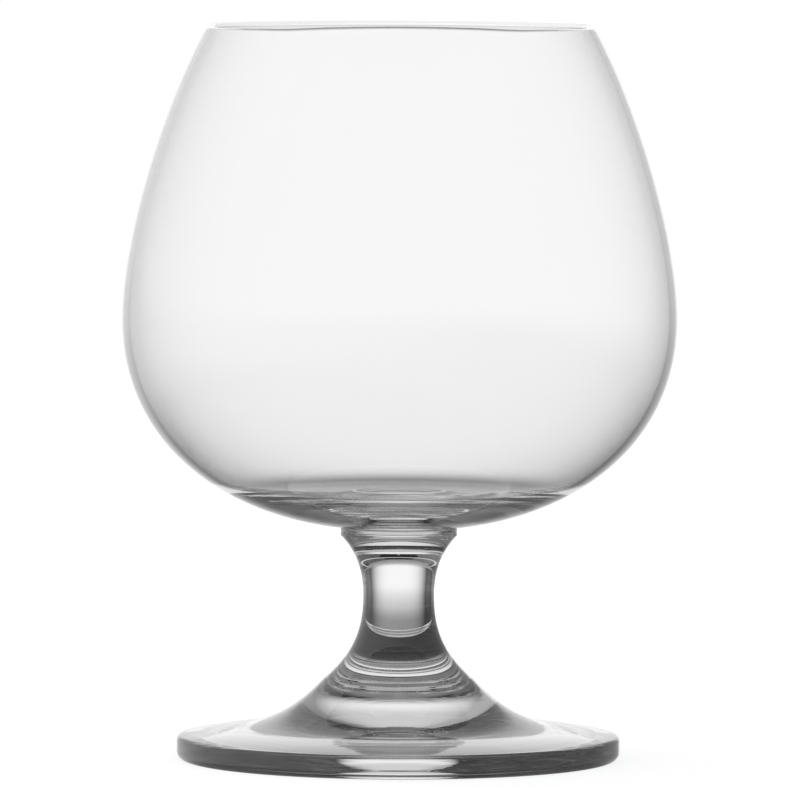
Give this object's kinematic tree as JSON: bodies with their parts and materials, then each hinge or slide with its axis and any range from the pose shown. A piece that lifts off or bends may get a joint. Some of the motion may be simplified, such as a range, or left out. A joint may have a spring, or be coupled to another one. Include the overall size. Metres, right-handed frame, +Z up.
{
  "type": "brandy snifter",
  "caption": "Short-stemmed stemware glass with a wide round bowl that narrows to its rim, on a flared round foot, for brandy or cognac.",
  "frame": {"origin": "centre of the plane that the foot rests on, on the glass's axis", "axes": "+Z up along the axis from the foot to the rim; X and Y are alike, because the glass is round"},
  "size_m": [0.0958, 0.0958, 0.127],
  "materials": {
    "clear_glass": "clear colourless glass, fire-polished smooth all over"
  },
  "bodies": {
    "root": {"bowl": "clear_glass", "stem": "clear_glass", "foot": "clear_glass"}
  },
  "joints": []
}
